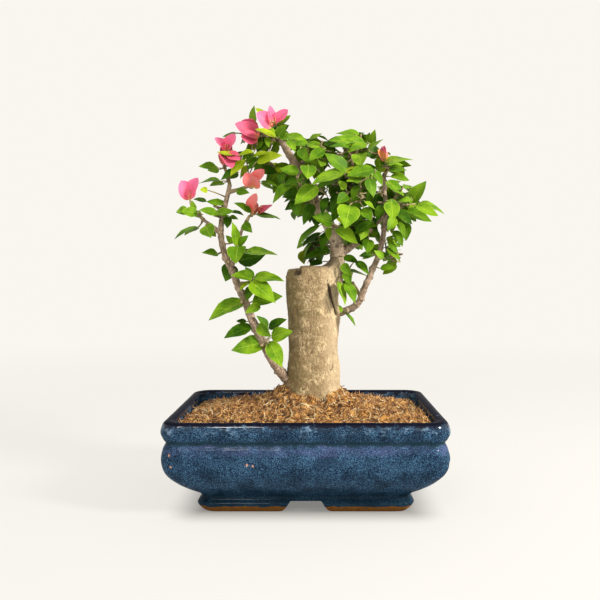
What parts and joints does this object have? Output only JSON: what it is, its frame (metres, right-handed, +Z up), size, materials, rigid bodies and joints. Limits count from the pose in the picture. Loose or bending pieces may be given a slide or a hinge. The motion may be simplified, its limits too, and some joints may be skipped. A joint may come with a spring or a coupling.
{
  "type": "bougainvillea bonsai in a pot",
  "caption": "Potted bonsai: thick flat-cut trunk, arching leader, thin side branches and a leafy crown with pink papery bracts, in a rectangular blue glazed footed pot.",
  "frame": {"origin": "on the ground, under the middle of the pot", "axes": "+X to the right and +Y to the back along and across the pot, seen from its front, +Z up"},
  "size_m": [0.2458, 0.171, 0.3442],
  "materials": {
    "glaze": "mottled blue gloss glaze",
    "soil": "loose coir fibre",
    "bark": "rough pale bark",
    "branch_bark": "rough knobbly bark",
    "foliage": "thin leaves and papery bracts"
  },
  "bodies": {
    "root": {"pot": "glaze", "soil": "soil", "trunk": "bark", "leader_lower": "branch_bark", "leader_upper": "branch_bark", "right_bough": "branch_bark", "middle_bough": "branch_bark", "right_branch_lower": "branch_bark", "right_branch_upper": "branch_bark", "left_branch_lower": "branch_bark", "left_branch_upper": "branch_bark", "left_outer_lateral": "branch_bark", "left_inner_lateral": "branch_bark", "crown_left_tip": "foliage", "crown_left_low": "foliage", "crown_top_front": "foliage", "crown_top_back": "foliage", "crown_arch_front": "foliage", "crown_arch_back": "foliage", "crown_summit": "foliage", "crown_heart_front": "foliage", "crown_heart_back": "foliage", "crown_right_top": "foliage", "crown_right_front": "foliage", "crown_right_back": "foliage", "crown_right_tip": "foliage", "crown_low_left": "foliage", "crown_low_front": "foliage", "crown_low_back": "foliage", "right_branch_tuft": "foliage", "trunk_side_tuft": "foliage", "left_spray_1": "foliage", "left_spray_2": "foliage", "left_spray_3": "foliage", "left_spray_4": "foliage", "left_spray_5": "foliage", "left_inner_spray": "foliage", "left_outer_spray": "foliage", "left_upper_spray": "foliage", "left_top_spray": "foliage", "left_top_inner": "foliage"}
  },
  "joints": []
}
